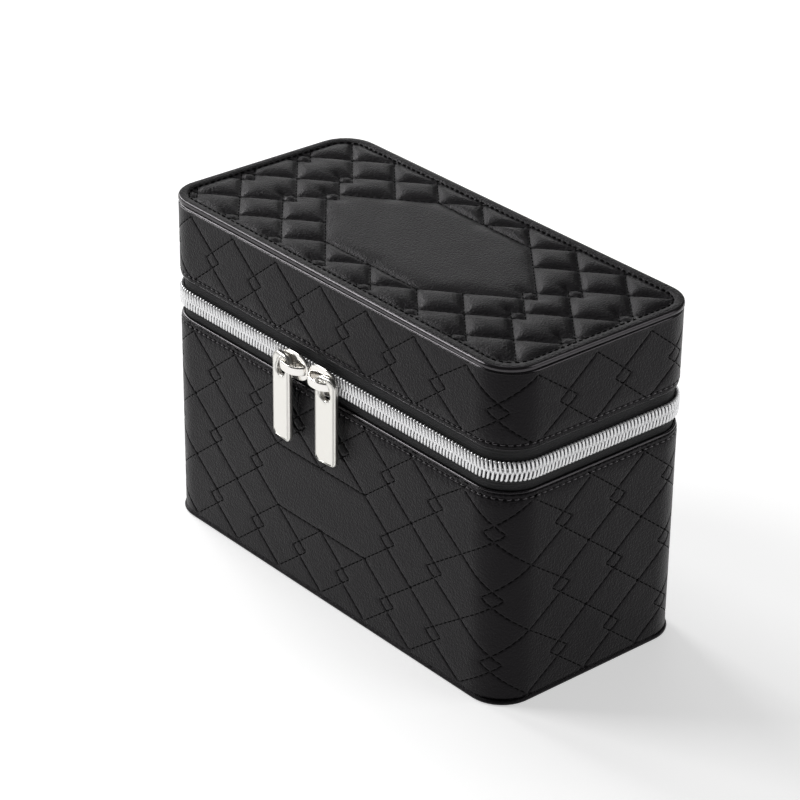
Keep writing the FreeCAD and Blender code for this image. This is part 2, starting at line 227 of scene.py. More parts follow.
def new_piece(name, points, faces, surface, body, smooth=True, polished=None):
    """Mesh piece from points in millimetres, riding on a CAD body; faces from polished on are an edge."""
    mesh = bpy.data.meshes.new(name)
    mesh.from_pydata((np.asarray(points) * MM).tolist(), [], [list(map(int, face)) for face in faces])
    mesh.materials.append(surface.material)
    mesh.polygons.foreach_set("use_smooth", [smooth] * len(mesh.polygons))
    if polished:
        mesh.materials.append(polished_edge.material)
        mesh.polygons.foreach_set("material_index", [int(i >= polished) for i in range(len(faces))])
    mesh.update()
    piece = bpy.data.objects.new(name, mesh)
    scene.collection.objects.link(piece)
    if body:
        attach(piece, body)
    return piece


def ring_faces(first, second):
    """Quads between two closed loops of point indices."""
    count = len(first)
    return [(first[i], first[(i + 1) % count], second[(i + 1) % count], second[i]) for i in range(count)]


def skirt(loop, rings, count, flipped=False):
    """Quads from a loop of point indices on over rings whose points are numbered from count."""
    faces = []
    for ring in rings:
        after = range(count, count + len(ring))
        faces += ring_faces(after, loop) if flipped else ring_faces(loop, after)
        loop, count = after, after.stop
    return faces


def loft(rings, closed=False):
    """Points and faces of a skin over rings of equally many points, capped, or closed into a loop."""
    points = np.concatenate(rings)
    first, last = range(len(rings[0])), range(len(points) - len(rings[-1]), len(points))
    faces = skirt(first, rings[1:], first.stop)
    faces += ring_faces(last, first) if closed else [tuple(first[::-1]), tuple(last)]
    return points, faces


def joined(parts):
    """One set of points and faces from several."""
    points, faces, count = [], [], 0
    for part_points, part_faces in parts:
        points.append(part_points)
        faces += [tuple(i + count for i in face) for face in part_faces]
        count += len(part_points)
    return np.concatenate(points), faces


def arc_points(x, y, radius, start, end, steps):
    """Points along an arc, angles in degrees."""
    angles = np.radians(np.linspace(start, end, steps))
    return [(x + radius * math.cos(a), y + radius * math.sin(a)) for a in angles]


class Wall:
    """Upright wall round the case. s runs round it from the middle of the front, positive to the right."""

    def __init__(self, radius):
        self.radius = radius
        self.flat_x = HALF_X - radius
        self.flat_y = HALF_Y - radius
        self.arc = math.pi / 2 * radius
        self.half_length = 2 * self.flat_x + 2 * self.arc + 2 * self.flat_y

    def place(self, s, inset, z):
        """Points at s, moved in from the outer face by inset, at height z."""
        s, inset, z = np.broadcast_arrays(np.asarray(s, float), inset, z)
        run = np.abs(s)
        first = np.clip(run - self.flat_x, 0, self.arc) / self.radius
        second = np.clip(run - self.flat_x - self.arc - 2 * self.flat_y, 0, self.arc) / self.radius
        turn = first + second
        normal_x, normal_y = np.sin(turn), -np.cos(turn)
        on_side = np.clip(run - self.flat_x - self.arc, 0, 2 * self.flat_y)
        on_back = np.clip(run - self.flat_x - 2 * self.arc - 2 * self.flat_y, 0, self.flat_x)
        centre_x = np.minimum(run, self.flat_x) - on_back
        centre_y = -self.flat_y + on_side
        x = np.sign(s) * (centre_x + (self.radius - inset) * normal_x)
        y = centre_y + (self.radius - inset) * normal_y
        return np.stack([x, y, z], axis=-1)

    def rings(self, s, profile):
        """Cross-sections at each s, from a profile of insets and heights."""
        return list(np.stack([self.place(s, inset, z) for inset, z in profile], axis=1))


wall = Wall(WALL_RADIUS)


# Stitched lattice, drawn on flat sheets

LINE_STEP = 0.25
SHORTEST_LINE = 1.0
FIELD_SLACK = 0.3
DIAMOND_SLACK = 0.1
HOLE_DEPTH = 0.45
HOLE_WIDTH = 0.4

# Least gaps between mesh points: on the lines, beside them, and in the grid as a share of its step
LINE_GAP = 0.4
SHOULDER_GAP = 0.12
SHOULDER_GAP_SHARE = 0.3
GRID_GAP_SHARE = 0.55
GRID_ROW_SHARE = 0.87

# A stitch's cross-section, and the places and sizes of its rings
STITCH_ANGLES = np.radians([0, 60, 120, 180])
STITCH_SHARES = np.array([0.0, 0.16, 0.84, 1.0])
STITCH_END = 0.35
STITCH_SWELL = np.array([STITCH_END, 1.0, 1.0, STITCH_END])


def lattice(first_x, first_y, columns, rows, rise):
    """Slanted lines whose ends run past each other and close a small diamond at each lattice point."""
    lines = []
    for column in range(columns):
        for row in range(rows):
            x, y = first_x + column * PITCH, first_y + row * rise
            lines.append(((x - OVERLAP, y), (x + PITCH + OVERLAP, y + rise)))
            lines.append(((x + OVERLAP, y), (x - PITCH - OVERLAP, y + rise)))
    return [np.array(line) for line in lines]


def cut_lines(lines, keep):
    """Parts of the lines where keep is true, found in short steps."""
    parts = []
    for start, end in lines:
        steps = max(2, int(np.linalg.norm(end - start) / LINE_STEP))
        share = np.linspace(0, 1, steps + 1)
        points = start + share[:, None] * (end - start)
        flags = np.concatenate([[False], keep(points), [False]]).astype(int)
        opens = np.flatnonzero(np.diff(flags) == 1)
        closes = np.flatnonzero(np.diff(flags) == -1) - 1
        for a, b in zip(opens, closes):
            if (b - a) * LINE_STEP > SHORTEST_LINE:
                parts.append(np.array([points[a], points[b]]))
    return parts


def outside_field(centre, flat, tip, height):
    """True for points outside a plain six-sided field, and in the small diamond at each of its tips."""
    slope = height / (tip - flat)

    def keep(points):
        along = np.abs(points[:, 0] - centre[0])
        across = np.abs(points[:, 1] - centre[1])
        inside = (across < height - FIELD_SLACK) & (along + across / slope < tip - FIELD_SLACK)
        diamond = np.abs(along - (tip - OVERLAP)) + across / slope < OVERLAP + DIAMOND_SLACK
        return ~inside | diamond

    return keep


def line_samples(lines):
    """Points every half stitch along the lines, the lines' unit directions, and 1 at needle holes."""
    points, directions, holes = [], [], []
    for start, end in lines:
        length = np.linalg.norm(end - start)
        count = max(1, round(length / STITCH)) * 2
        share = np.linspace(0, 1, count + 1)
        points.append(start + share[:, None] * (end - start))
        directions.append(np.repeat([(end - start) / length], count + 1, axis=0))
        holes.append((np.arange(count + 1) + 1) % 2)
    return np.concatenate(points), np.concatenate(directions), np.concatenate(holes)


def needle_holes(points, lines):
    """Extra depth at the ends of the stitches along the lines."""
    places, _, holes = line_samples(lines)
    nearest = np.full(len(points), np.inf)
    for x, y in places[holes == 1]:
        nearest = np.minimum(nearest, np.hypot(points[:, 0] - x, points[:, 1] - y))
    return HOLE_DEPTH * np.exp(-((nearest / HOLE_WIDTH) ** 2))


def distance_to_lines(points, lines):
    """Distance from each point to the nearest line."""
    nearest = np.full(len(points), np.inf)
    for start, end in lines:
        run = end - start
        share = np.clip(((points - start) @ run) / (run @ run), 0, 1)
        gap = np.linalg.norm(points - start - share[:, None] * run, axis=1)
        nearest = np.minimum(nearest, gap)
    return nearest


def thin_out(groups):
    """Joins groups of 2-D points and drops each one nearer to an earlier one than its group's gap."""
    cell = 2.0
    around = [(i, j) for i in (-1, 0, 1) for j in (-1, 0, 1)]
    kept, cells = [], {}
    for points, gap in groups:
        for x, y in points:
            column, row = int(x // cell), int(y // cell)
            near = False
            for i, j in around:
                for a, b in cells.get((column + i, row + j), ()):
                    near = near or (a - x) ** 2 + (b - y) ** 2 < gap * gap
            if not near:
                cells.setdefault((column, row), []).append((x, y))
                kept.append((x, y))
    return np.array(kept)


def staggered_grid(low, high, step):
    """Even points in staggered rows between two corners."""
    rows = []
    for index, y in enumerate(np.arange(low[1] + step / 2, high[1], step * GRID_ROW_SHARE)):
        x = np.arange(low[0] + step / 2 * (1 + index % 2), high[0], step)
        rows.append(np.column_stack([x, np.full(len(x), y)]))
    return np.concatenate(rows)


def mesh_points(edge, lines, inside, step, shoulders):
    """Points for a quilted sheet: its edge, the stitch lines and their shoulders, then an even grid."""
    centres, directions, _ = line_samples(lines)
    normals = np.stack([-directions[:, 1], directions[:, 0]], axis=1)
    groups = [(edge, 0.0), (centres[inside(centres)], LINE_GAP)]
    for offset in shoulders:
        sides = np.concatenate([centres + offset * normals, centres - offset * normals])
        groups.append((sides[inside(sides)], SHOULDER_GAP_SHARE * offset + SHOULDER_GAP))
    grid = staggered_grid(edge.min(axis=0), edge.max(axis=0), step)
    groups.append((grid[inside(grid)], step * GRID_GAP_SHARE))
    return thin_out(groups)


def triangles(points):
    """Delaunay triangles over 2-D points, as indices into them."""
    _, _, faces, origins, _, _ = delaunay_2d_cdt([Vector(p) for p in points], [], [], 0, 1e-6)
    return [[origins[i][0] for i in face] for face in faces]


def stitches(name, lines, place, body, size, surface):
    """Low rounded stitches along 2-D lines; place turns 2-D points and heights into 3-D points."""
    half_width, height, gap = size
    rows, columns = len(STITCH_SHARES), len(STITCH_ANGLES)
    swell = STITCH_SWELL[:, None]
    aside = swell * np.cos(STITCH_ANGLES) * half_width
    rise = (swell - STITCH_END) / (1 - STITCH_END) * np.sin(STITCH_ANGLES) * height
    points, faces = [], []
    for start, end in lines:
        count = max(1, round(np.linalg.norm(end - start) / STITCH))
        step = (end - start) / count
        unit = step / np.linalg.norm(step)
        normal = np.array([-unit[1], unit[0]])
        for k in range(count):
            a = start + k * step + unit * gap / 2
            b = start + (k + 1) * step - unit * gap / 2
            spine = a + STITCH_SHARES[:, None] * (b - a)
            flat = spine[:, None, :] + aside[:, :, None] * normal
            base = len(points) * rows * columns
            points.append(place(flat.reshape(-1, 2), rise.reshape(-1)))
            for i in range(rows - 1):
                for j in range(columns - 1):
                    corner = base + i * columns + j
                    faces.append((corner, corner + columns, corner + columns + 1, corner + 1))
    piece = new_piece(name, np.concatenate(points), faces, surface, body)


# Walls

EDGE_ROW = 0.45
EDGE_FADE = 1.5
EDGE_TURN = np.radians([22, 45, 67, 90, 112, 135, 158, 180])
FOOT_ROUND = 0.5
RIM_ROUND = 0.65
HEM = 3.0
LINE_END = 1.2
WALL_COLUMNS = 241
UPRIGHT_STEP = 2.0
BACK_ROOM = 0.6
WALL_GRID = 2.6
WALL_SHOULDERS = (0.25, 0.5, 0.85)
BORDER_RUN = 60.0
GROOVE_DEPTH = 0.32
GROOVE_WIDTH = 0.22
STITCH_SINK = 0.30
BORDER_SINK = 0.36
ZIP_LEAN = 0.5
FAR = 1000.0

# Half width, height and gap of the stitches
WALL_STITCH = (0.28, 0.28, 0.7)
WALL_BORDER_STITCH = (0.34, 0.42, 0.9)


def stretched(lines):
    """Wall lines moved from the lattice's even spacing to the wall's own length."""
    even_end = STRETCH_FROM + 2 * PITCH
    at = [-FAR, STRETCH_FROM, even_end, FAR - STRETCH_TO + even_end]
    to = [-FAR, STRETCH_FROM, STRETCH_TO, FAR]
    return [np.column_stack([np.interp(line[:, 0], at, to), line[:, 1]]) for line in lines]


def wall_lines(row, rows, start, end, plain):
    """Lattice lines of a wall between two heights, with the long sides of its plain field."""
    columns = int(wall.half_length / PITCH) + 3
    first_x = FRONT_CENTRE - (columns + 0.5) * PITCH
    lines = lattice(first_x, row - rows * WALL_RISE, 2 * columns + 2, 2 * rows, WALL_RISE)
    if plain:
        lines = cut_lines(lines, outside_field(*plain))
        (x, y), flat, _, rise = plain
        for level in (y - rise, y + rise):
            lines.append(np.array([(x - flat, level), (x + flat, level)]))

    def keep(points):
        on_wall = np.abs(points[:, 0]) < wall.half_length
        return on_wall & (points[:, 1] > start + LINE_END) & (points[:, 1] < end - LINE_END)

    return cut_lines(stretched(lines), keep)


def wall_edge(start, end):
    """Regular points along the edges of a wall that is laid flat."""
    half = wall.half_length
    around = np.linspace(-half, half, WALL_COLUMNS)
    upright = np.linspace(start + EDGE_ROW, end - EDGE_ROW, int((end - start) / UPRIGHT_STEP) + 1)
    edge = [(s, z) for z in (start, start + EDGE_ROW, end - EDGE_ROW, end) for s in around]
    edge += [(s, z) for s in (-half, half) for z in upright[1:-1]]
    return np.array(edge)


def zip_lean(z, border, edge):
    """How far leather leans in between its border stitches and the edge at the zip."""
    share = np.clip((z - border) / (edge - border), 0, 1)
    return ZIP_LEAN * share ** 1.5


def wall_depth(points, lines, border_lines, start, end):
    """How far the stitches draw a wall's leather in, fading at its edges."""
    gap = distance_to_lines(points, lines + border_lines)
    depth = GROOVE_DEPTH * np.exp(-((gap / GROOVE_WIDTH) ** 2)) + needle_holes(points, border_lines)
    from_edge = np.minimum(points[:, 1] - start, end - points[:, 1])
    return depth * np.clip(from_edge / EDGE_FADE, 0, 1)


def closed_round(flat, faces):
    """Faces of a flat wall whose last column is its first one again, round the back."""
    same = np.arange(len(flat))
    first = np.flatnonzero(np.isclose(flat[:, 0], -wall.half_length))
    for index in np.flatnonzero(np.isclose(flat[:, 0], wall.half_length)):
        same[index] = first[np.argmin(np.abs(flat[first, 1] - flat[index, 1]))]
    return [[same[i] for i in face] for face in faces]


def turned_edge(flat, lean, z, radius, sense, count):
    """Points and faces of a wall's edge that turns in at height z; its points are numbered from count."""
    loop = np.flatnonzero(np.isclose(flat[:, 1], z))
    loop = list(loop[np.argsort(flat[loop, 0])][:-1])
    s, base = flat[loop, 0], lean[loop]
    profile = [(radius * (1 - math.cos(t)), z + sense * radius * math.sin(t)) for t in EDGE_TURN]
    profile.append((2 * radius, z - sense * HEM))
    rings = [wall.place(s, base + inset, level) for inset, level in profile]
    return rings, skirt(loop, rings, count, sense > 0)


def wall_cover(name, node_name, body, row, rows, border, low_edge, high_edge, plain=None):
    """Stitched leather round the case's wall, with its edges turned in."""
    low, high = heights(node_name)
    zip_edge = low if border < (low + high) / 2 else high
    start, end = low + low_edge, high - high_edge
    half = wall.half_length
    lines = wall_lines(row, rows, start, end, plain)
    runs = np.linspace(-half, half, int(2 * half / BORDER_RUN) + 1)
    border_lines = [np.array([(a, border), (b, border)]) for a, b in zip(runs[:-1], runs[1:])]

    def inside(points):
        from_edge = np.minimum(points[:, 1] - start, end - points[:, 1])
        return (np.abs(points[:, 0]) < half - BACK_ROOM) & (from_edge > 2 * EDGE_ROW)

    flat = mesh_points(wall_edge(start, end), lines + border_lines, inside, WALL_GRID, WALL_SHOULDERS)
    lean = zip_lean(flat[:, 1], border, zip_edge)
    depth = wall_depth(flat, lines, border_lines, start, end)
    points = [wall.place(flat[:, 0], depth + lean, flat[:, 1])]
    faces = closed_round(flat, triangles(flat))
    polished = len(faces)
    for z, radius, sense in ((start, low_edge, -1), (end, high_edge, 1)):
        edge_points, edge_faces = turned_edge(flat, lean, z, radius, sense, sum(map(len, points)))
        points += edge_points
        faces += edge_faces
    cover = new_piece(name, np.concatenate(points), faces, leather, body, polished=polished)
    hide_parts(node_name)

    def in_groove(points, rise):
        return wall.place(points[:, 0], STITCH_SINK - rise, points[:, 1])

    def on_border(points, rise):
        inward = zip_lean(points[:, 1], border, zip_edge)
        return wall.place(points[:, 0], BORDER_SINK - rise + inward, points[:, 1])

    stitches(name + "_stitches", lines, in_groove, body, WALL_STITCH, thread)
    stitches(name + "_border", border_lines, on_border, body, WALL_BORDER_STITCH, polished_edge)


front_field = ((FRONT_CENTRE, BODY_ROW), PITCH, 1.5 * PITCH + OVERLAP, WALL_RISE / 2)
body_place = (BODY_ROW, 3, BODY_BORDER, FOOT_ROUND, RIM_ROUND)
lid_place = (LID_ROW, 2, LID_BORDER, RIM_ROUND, RIM_ROUND)
wall_cover("body_cover", "body_leather", "case_body", *body_place, plain=front_field)
wall_cover("lid_cover", "lid_leather", "lid", *lid_place)


# Quilted top

SEAM_LEVEL = 123.6
BORDER_SEAM = 124.3
BORDER_EASE = 2.5
FIELD_TOP = 124.7
PUFF_REACH = 4.8
EASING = 2.5
NEAREST_SEAM = 0.05
SEAM_FLAT = 0.3
SEAM_SINK = 0.14
STRIP_LEVEL = 124.9
STRIP_GROOVE = 0.45
STRIP_GROOVE_WIDTH = 0.7
EDGE_ROUND = 1.1
TOP_GRID = 1.2
TOP_SHOULDERS = (0.42, 1.1)
TOP_ROWS = 5
CORNER_POINTS = 25
PANEL_POINTS = 240
BORDER_STITCHES = 184
TOP_STITCH = (0.30, 0.34, 0.8)
TOP_BORDER_STITCH = (0.30, 0.36, 0.9)

# Hem of the top's edge: its height over the CAD panel's foot, then steps inwards and upwards from there
HEM_LEVEL = 0.05
HEM_STEPS = ((0.0, 0.5), (0.25, 0.1), (0.6, 0.0), (HEM, 0.0))


def panel_outline(inset, count):
    """Even points round the top or base panel in plan, anticlockwise, at an inset from its edge."""
    radius = PANEL_RADIUS - inset
    flat_x, flat_y = HALF_X - PANEL_RADIUS, HALF_Y - PANEL_RADIUS
    corners = ((flat_x, -flat_y, -90), (flat_x, flat_y, 0), (-flat_x, flat_y, 90), (-flat_x, -flat_y, 180))
    path = []
    for x, y, start in corners:
        path += arc_points(x, y, radius, start, start + 90, CORNER_POINTS)
    path = np.array(path + path[:1])
    length = np.concatenate([[0], np.cumsum(np.linalg.norm(np.diff(path, axis=0), axis=1))])
    at = np.linspace(0, length[-1], count, endpoint=False)
    return np.column_stack([np.interp(at, length, path[:, 0]), np.interp(at, length, path[:, 1])])


def at_level(outline, z):
    """Plan points at one height."""
    return np.column_stack([outline, np.full(len(outline), z)])


def panel_inset(points):
    """Distance of plan points in from the outline of the top panel."""
    over = np.abs(points) - (np.array([HALF_X, HALF_Y]) - PANEL_RADIUS)
    outer = np.linalg.norm(np.clip(over, 0, None), axis=1)
    return PANEL_RADIUS - outer - np.minimum(over.max(axis=1), 0)


def border_distance(points):
    """Distance of plan points from the top's border seam."""
    return np.abs(panel_inset(points) - TOP_BORDER)


def top_lines(puffed, tip):
    """Stitch lines of the top: the lattice outside its plain field, and the field's outline."""
    columns = int(HALF_X / PITCH) + 2
    first_x = -(columns + 0.5) * PITCH
    first_y = TOP_CENTRE_Y - TOP_ROWS / 2 * TOP_RISE
    lines = cut_lines(lattice(first_x, first_y, 2 * columns + 2, TOP_ROWS, TOP_RISE), puffed)
    for side in (-1, 1):
        level = TOP_CENTRE_Y + side * TOP_RISE
        lines.append(np.array([(-PITCH, level), (PITCH, level)]))
        for end in (-1, 1):
            inner = (end * (1.5 * PITCH + OVERLAP), TOP_CENTRE_Y + side * TOP_RISE / 2)
            lines.append(np.array([inner, (end * tip, TOP_CENTRE_Y)]))
    return cut_lines(lines, lambda points: panel_inset(points) > TOP_BORDER)


def eased_distance(points, lines):
    """Distance to the nearest seam, eased where several are about as near, so that the puffs are round."""
    total = np.maximum(border_distance(points), NEAREST_SEAM) ** -EASING
    for line in lines:
        total += np.maximum(distance_to_lines(points, [line]), NEAREST_SEAM) ** -EASING
    return total ** (-1 / EASING)


def seam_level(points):
    """Height of the seams, which rise towards the border."""
    return SEAM_LEVEL + (BORDER_SEAM - SEAM_LEVEL) * np.exp(-border_distance(points) / BORDER_EASE)


def top_level(points, lines, puffed):
    """Height of the quilted top over plan points; puffed is true outside the plain field."""
    gap = eased_distance(points, lines)
    swell = 1 - np.clip(1 - (gap - SEAM_FLAT) / PUFF_REACH, 0, 1) ** 2
    crest = np.where(puffed(points), CROWN_TOP, FIELD_TOP)
    seam = seam_level(points)
    puffs = seam + (crest - seam) * swell
    groove = np.exp(-((border_distance(points) / STRIP_GROOVE_WIDTH) ** 2))
    return np.where(panel_inset(points) > TOP_BORDER, puffs, STRIP_LEVEL - STRIP_GROOVE * groove)


def panel_edge_profile():
    """Steps outwards and heights of the top's rounded edge, down to its hem."""
    profile = []
    for turn in np.radians([18, 36, 54, 72, 90]):
        profile.append((EDGE_ROUND * math.sin(turn), STRIP_LEVEL - EDGE_ROUND * (1 - math.cos(turn))))
    for inward, upward in HEM_STEPS:
        profile.append((EDGE_ROUND - inward, TOP_FOOT + HEM_LEVEL + upward))
    return profile


def make_top():
    """Puffy quilted panel with a plain field, a stitched border and a rounded edge."""
    tip = 2 * PITCH + 2 * OVERLAP
    puffed = outside_field((0.0, TOP_CENTRE_Y), PITCH, tip, TOP_RISE)
    lines = top_lines(puffed, tip)
    border = panel_outline(TOP_BORDER, BORDER_STITCHES)
    border_lines = [np.array(pair) for pair in zip(border, np.roll(border, -1, axis=0))]
    edge = panel_outline(EDGE_ROUND, PANEL_POINTS)
    rows = np.concatenate([edge, panel_outline(EDGE_ROUND + EDGE_ROW, PANEL_POINTS)])

    def inside(points):
        return panel_inset(points) > EDGE_ROUND + 2 * EDGE_ROW

    flat = mesh_points(rows, lines + border_lines, inside, TOP_GRID, TOP_SHOULDERS)
    faces = triangles(flat)
    polished = len(faces)
    outward = panel_outline(0, PANEL_POINTS) - edge
    outward /= np.linalg.norm(outward, axis=1)[:, None]
    rings = [at_level(edge + out * outward, z) for out, z in panel_edge_profile()]
    faces += skirt(range(PANEL_POINTS), rings, len(flat), True)
    points = np.concatenate([np.column_stack([flat, top_level(flat, lines, puffed)]), *rings])
    panel = new_piece("top_panel", points, faces, leather, "lid", polished=polished)
    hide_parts("top_quilt", "top_foam")

    def on_seam(points, rise):
        return np.column_stack([points, seam_level(points) - SEAM_SINK + rise])

    def on_strip(points, rise):
        return np.column_stack([points, STRIP_LEVEL - STRIP_GROOVE + rise])

    stitches("top_stitches", lines, on_seam, "lid", TOP_STITCH, thread)
    stitches("top_border", border_lines, on_strip, "lid", TOP_BORDER_STITCH, thread)


make_top()


# Base panel

BASE_HEM = 6.0
BASE_GAP = 0.02


def make_base():
    """Leather bottom panel with a rounded edge under the walls."""
    low, high = heights("base_panel")
    radius = (high - low) / 2
    profile = [(BASE_HEM, low), (radius, low)]
    for turn in np.radians([67, 45, 22, 0, -22, -45, -67]):
        profile.append((radius * (1 - math.cos(turn)), low + radius * (1 - math.sin(turn))))
    profile += [(radius, high - BASE_GAP), (BASE_HEM, high - BASE_GAP)]
    points, faces = loft([at_level(panel_outline(inset, PANEL_POINTS), z) for inset, z in profile])
    panel = new_piece("base_cover", points, faces, leather, "case_body")
    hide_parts("base_panel")


make_base()


# Zip coil

COIL_PITCH = 1.55
COIL_WIRE = 0.5
COIL_REACH = 0.95
COIL_HALF_DEPTH = 0.9
COIL_STEPS = 14
COIL_SIDES = 6
CORE_INSETS = (0.2, 0.75)
CORE_FROM = 0.9
CORE_TO = 2.5
STRIP_COLUMNS = 300
HINGE_GAP = 0.4
ZIP_END = wall.half_length - box_mm("hinge_strip")[1][0] - HINGE_GAP


def tube(path, radius, sides, guide):
    """Points and faces of a tube along a path; guide is a vector near each cross-section's first spoke."""
    ahead = np.gradient(path, axis=0)
    ahead /= np.linalg.norm(ahead, axis=1)[:, None]
    side = np.cross(ahead, guide)
    side /= np.linalg.norm(side, axis=1)[:, None]
    up = np.cross(side, ahead)
    spokes = []
    for angle in np.linspace(0, 2 * math.pi, sides, endpoint=False):
        spokes.append(path + radius * (math.cos(angle) * up + math.sin(angle) * side))
    return loft(list(np.stack(spokes, axis=1)))


def coil_row(name, node_name, body, sense, phase):
    """One row of the zip's coil, a flattened helix whose heads reach past the zip's middle, and its core."""
    low, high = box_mm(node_name)
    outer = low[2] if sense < 0 else high[2]
    head = ZIP_LEVEL - sense * COIL_REACH
    middle, half_height = (outer + head) / 2, abs(outer - head) / 2 - COIL_WIRE
    outward = -(low[1] + HALF_Y)
    turns = int(2 * ZIP_END / COIL_PITCH) - 1
    angle = np.linspace(0, turns * 2 * math.pi, turns * COIL_STEPS + 1)
    s = -ZIP_END + COIL_PITCH * (angle / (2 * math.pi) + phase)
    inset = COIL_HALF_DEPTH - outward - (COIL_HALF_DEPTH - COIL_WIRE) * np.sin(angle)
    z = middle + sense * half_height * np.cos(angle)
    path = wall.place(s, inset, z)
    across = path - wall.place(s, inset + 1.0, z)
    points, faces = tube(path, COIL_WIRE, COIL_SIDES, np.cross(across, np.gradient(path, axis=0)))
    row = new_piece(name, points, faces, coil, body)
    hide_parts(node_name)

    bottom, top = sorted((outer - sense * CORE_FROM, outer - sense * CORE_TO))
    front, back = CORE_INSETS
    profile = ((front, bottom), (front, top), (back, top), (back, bottom))
    points, faces = loft(wall.rings(np.linspace(-ZIP_END, ZIP_END, STRIP_COLUMNS), profile))
    core = new_piece(name + "_core", points, faces, tape, body, smooth=False)


coil_row("coil_lower", "zip_teeth_lower", "case_body", -1, 0.0)
coil_row("coil_upper", "zip_teeth_upper", "lid", 1, 0.5)


# Zip tapes, wall linings and hinge, all thin sheets with round edges

SHEET_TURN = np.radians([0, 30, 60, 90, 120, 150, 180])
CLOTH = 0.8
TAPE_INSET = 1.5
LINING_INSET = 3.6
BAND_ROWS = 8
HINGE_ROWS = 25
HINGE_COLUMNS = 60
HINGE_SPARE = 0.35


def sheet_profile(outer, inner, low, high, rows):
    """Outline of an upright sheet's cross-section, as places across it and heights."""
    half = (inner - outer) / 2
    radius = abs(half)
    levels = np.linspace(low + radius, high - radius, rows)
    profile = [(outer, z) for z in levels[:-1]]
    for turn in SHEET_TURN:
        profile.append((outer + half * (1 - math.cos(turn)), high - radius + radius * math.sin(turn)))
    profile += [(inner, z) for z in levels[-2:0:-1]]
    for turn in SHEET_TURN[:-1]:
        profile.append((outer + half * (1 + math.cos(turn)), low + radius - radius * math.sin(turn)))
    return profile


def band(name, node_name, body, inset, reach, surface):
    """Strip of cloth along the wall, from -reach to reach, or right round the case without a reach."""
    if reach:
        s = np.linspace(-reach, reach, STRIP_COLUMNS)
    else:
        s = np.linspace(-wall.half_length, wall.half_length, STRIP_COLUMNS)[:-1]
    profile = sheet_profile(inset, inset + CLOTH, *heights(node_name), BAND_ROWS)
    points, faces = loft(wall.rings(s, profile), closed=not reach)
    piece = new_piece(name, points, faces, surface, body)
    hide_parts(node_name)


def make_hinge(name, node_name, surface):
    """Upright sheet along the back over the CAD hinge strip, with rounded edges; it rides on no body."""
    low, high = box_mm(node_name)
    profile = sheet_profile(high[1], low[1], low[2], high[2], HINGE_ROWS)
    columns = np.linspace(low[0] - HINGE_SPARE, high[0] + HINGE_SPARE, HINGE_COLUMNS)
    points, faces = loft([np.array([(x, y, z) for y, z in profile]) for x in columns])
    piece = new_piece(name, points, faces, surface, None)
    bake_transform(piece)
    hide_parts(node_name)


band("tape_lower", "zip_tape_lower", "case_body", TAPE_INSET, ZIP_END, tape)
band("tape_upper", "zip_tape_upper", "lid", TAPE_INSET, ZIP_END, tape)
band("suede_body", "body_lining", "case_body", LINING_INSET, None, suede)
band("suede_lid", "lid_lining", "lid", LINING_INSET, None, suede)
make_hinge("hinge_leather", "hinge_strip", leather)
make_hinge("hinge_suede", "hinge_lining", suede)


# Pads and ring rolls, filled by a short cloth simulation

PRESSURE = 4.0
FILL_FRAMES = 20
FILL_CAP = 0.5

# Piece, CAD node, body, voxel size and rounds of smoothing
PADS = [
    ("soft_floor", "floor_pad", "case_body", 1.2, 6),
    ("soft_lid", "lid_pad", "lid", 1.2, 6),
    ("soft_tray", "tray_pad", "tray", 1.0, 5),
]
PADS += [("soft_roll_%d" % i, "ring_roll_%d" % i, "tray", 0.9, 8) for i in range(1, 8)]


def soft_copy(name, node_name, body, voxel, rounds):
    """Evenly meshed, rounded copy of a CAD pad."""
    item = frame["nodes"][node_name]
    mesh = item.data.copy()
    mesh.transform(item.matrix_world)
    piece = bpy.data.objects.new(name, mesh)
    scene.collection.objects.link(piece)
    even = piece.modifiers.new("even", "REMESH")
    even.mode = "VOXEL"
    even.voxel_size = voxel * MM
    rounded = piece.modifiers.new("rounded", "SMOOTH")
    rounded.factor = 0.5
    rounded.iterations = rounds
    depsgraph = bpy.context.evaluated_depsgraph_get()
    piece.data = bpy.data.meshes.new_from_object(piece.evaluated_get(depsgraph))
    piece.modifiers.clear()
    piece.data.materials.clear()
    piece.data.materials.append(suede.material)
    piece.data.polygons.foreach_set("use_smooth", [True] * len(piece.data.polygons))
    piece["cad_node"] = node_name
    piece["cad_body"] = body
    return piece


def corners_of(mesh):
    """Mesh points as an array."""
    points = np.empty(len(mesh.vertices) * 3)
    mesh.vertices.foreach_get("co", points)
    return points.reshape(-1, 3)


def fill(pieces):
    """Inflates the pieces together, keeps each move small and inside the CAD pad, then fixes the shape."""
    for piece in pieces:
        cloth = piece.modifiers.new("fill", "CLOTH")
        cloth.settings.use_pressure = True
        cloth.settings.uniform_pressure_force = PRESSURE
        cloth.settings.effector_weights.gravity = 0.0
        cloth.point_cache.frame_end = FILL_FRAMES
    for moment in range(1, FILL_FRAMES + 1):
        scene.frame_set(moment)
    depsgraph = bpy.context.evaluated_depsgraph_get()
    for piece in pieces:
        before = corners_of(piece.data)
        moves = corners_of(piece.evaluated_get(depsgraph).to_mesh()) - before
        length = np.linalg.norm(moves, axis=1)[:, None]
        after = before + moves * np.minimum(1, FILL_CAP * MM / np.maximum(length, 1e-9))
        low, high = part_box(piece["cad_node"])
        piece.modifiers.clear()
        piece.data.vertices.foreach_set("co", np.clip(after, low, high).reshape(-1))
        piece.data.update()
    scene.frame_set(1)


pads = [soft_copy(*row) for row in PADS]
fill(pads)
for pad in pads:
    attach(pad, pad["cad_body"])
    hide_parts(pad["cad_node"])


# Ribbon tabs of the tray

TAB_LEVELS = 20
TAB_FOLD = 9
TAB_RINGS = 14
TAB_WAVE = 0.2


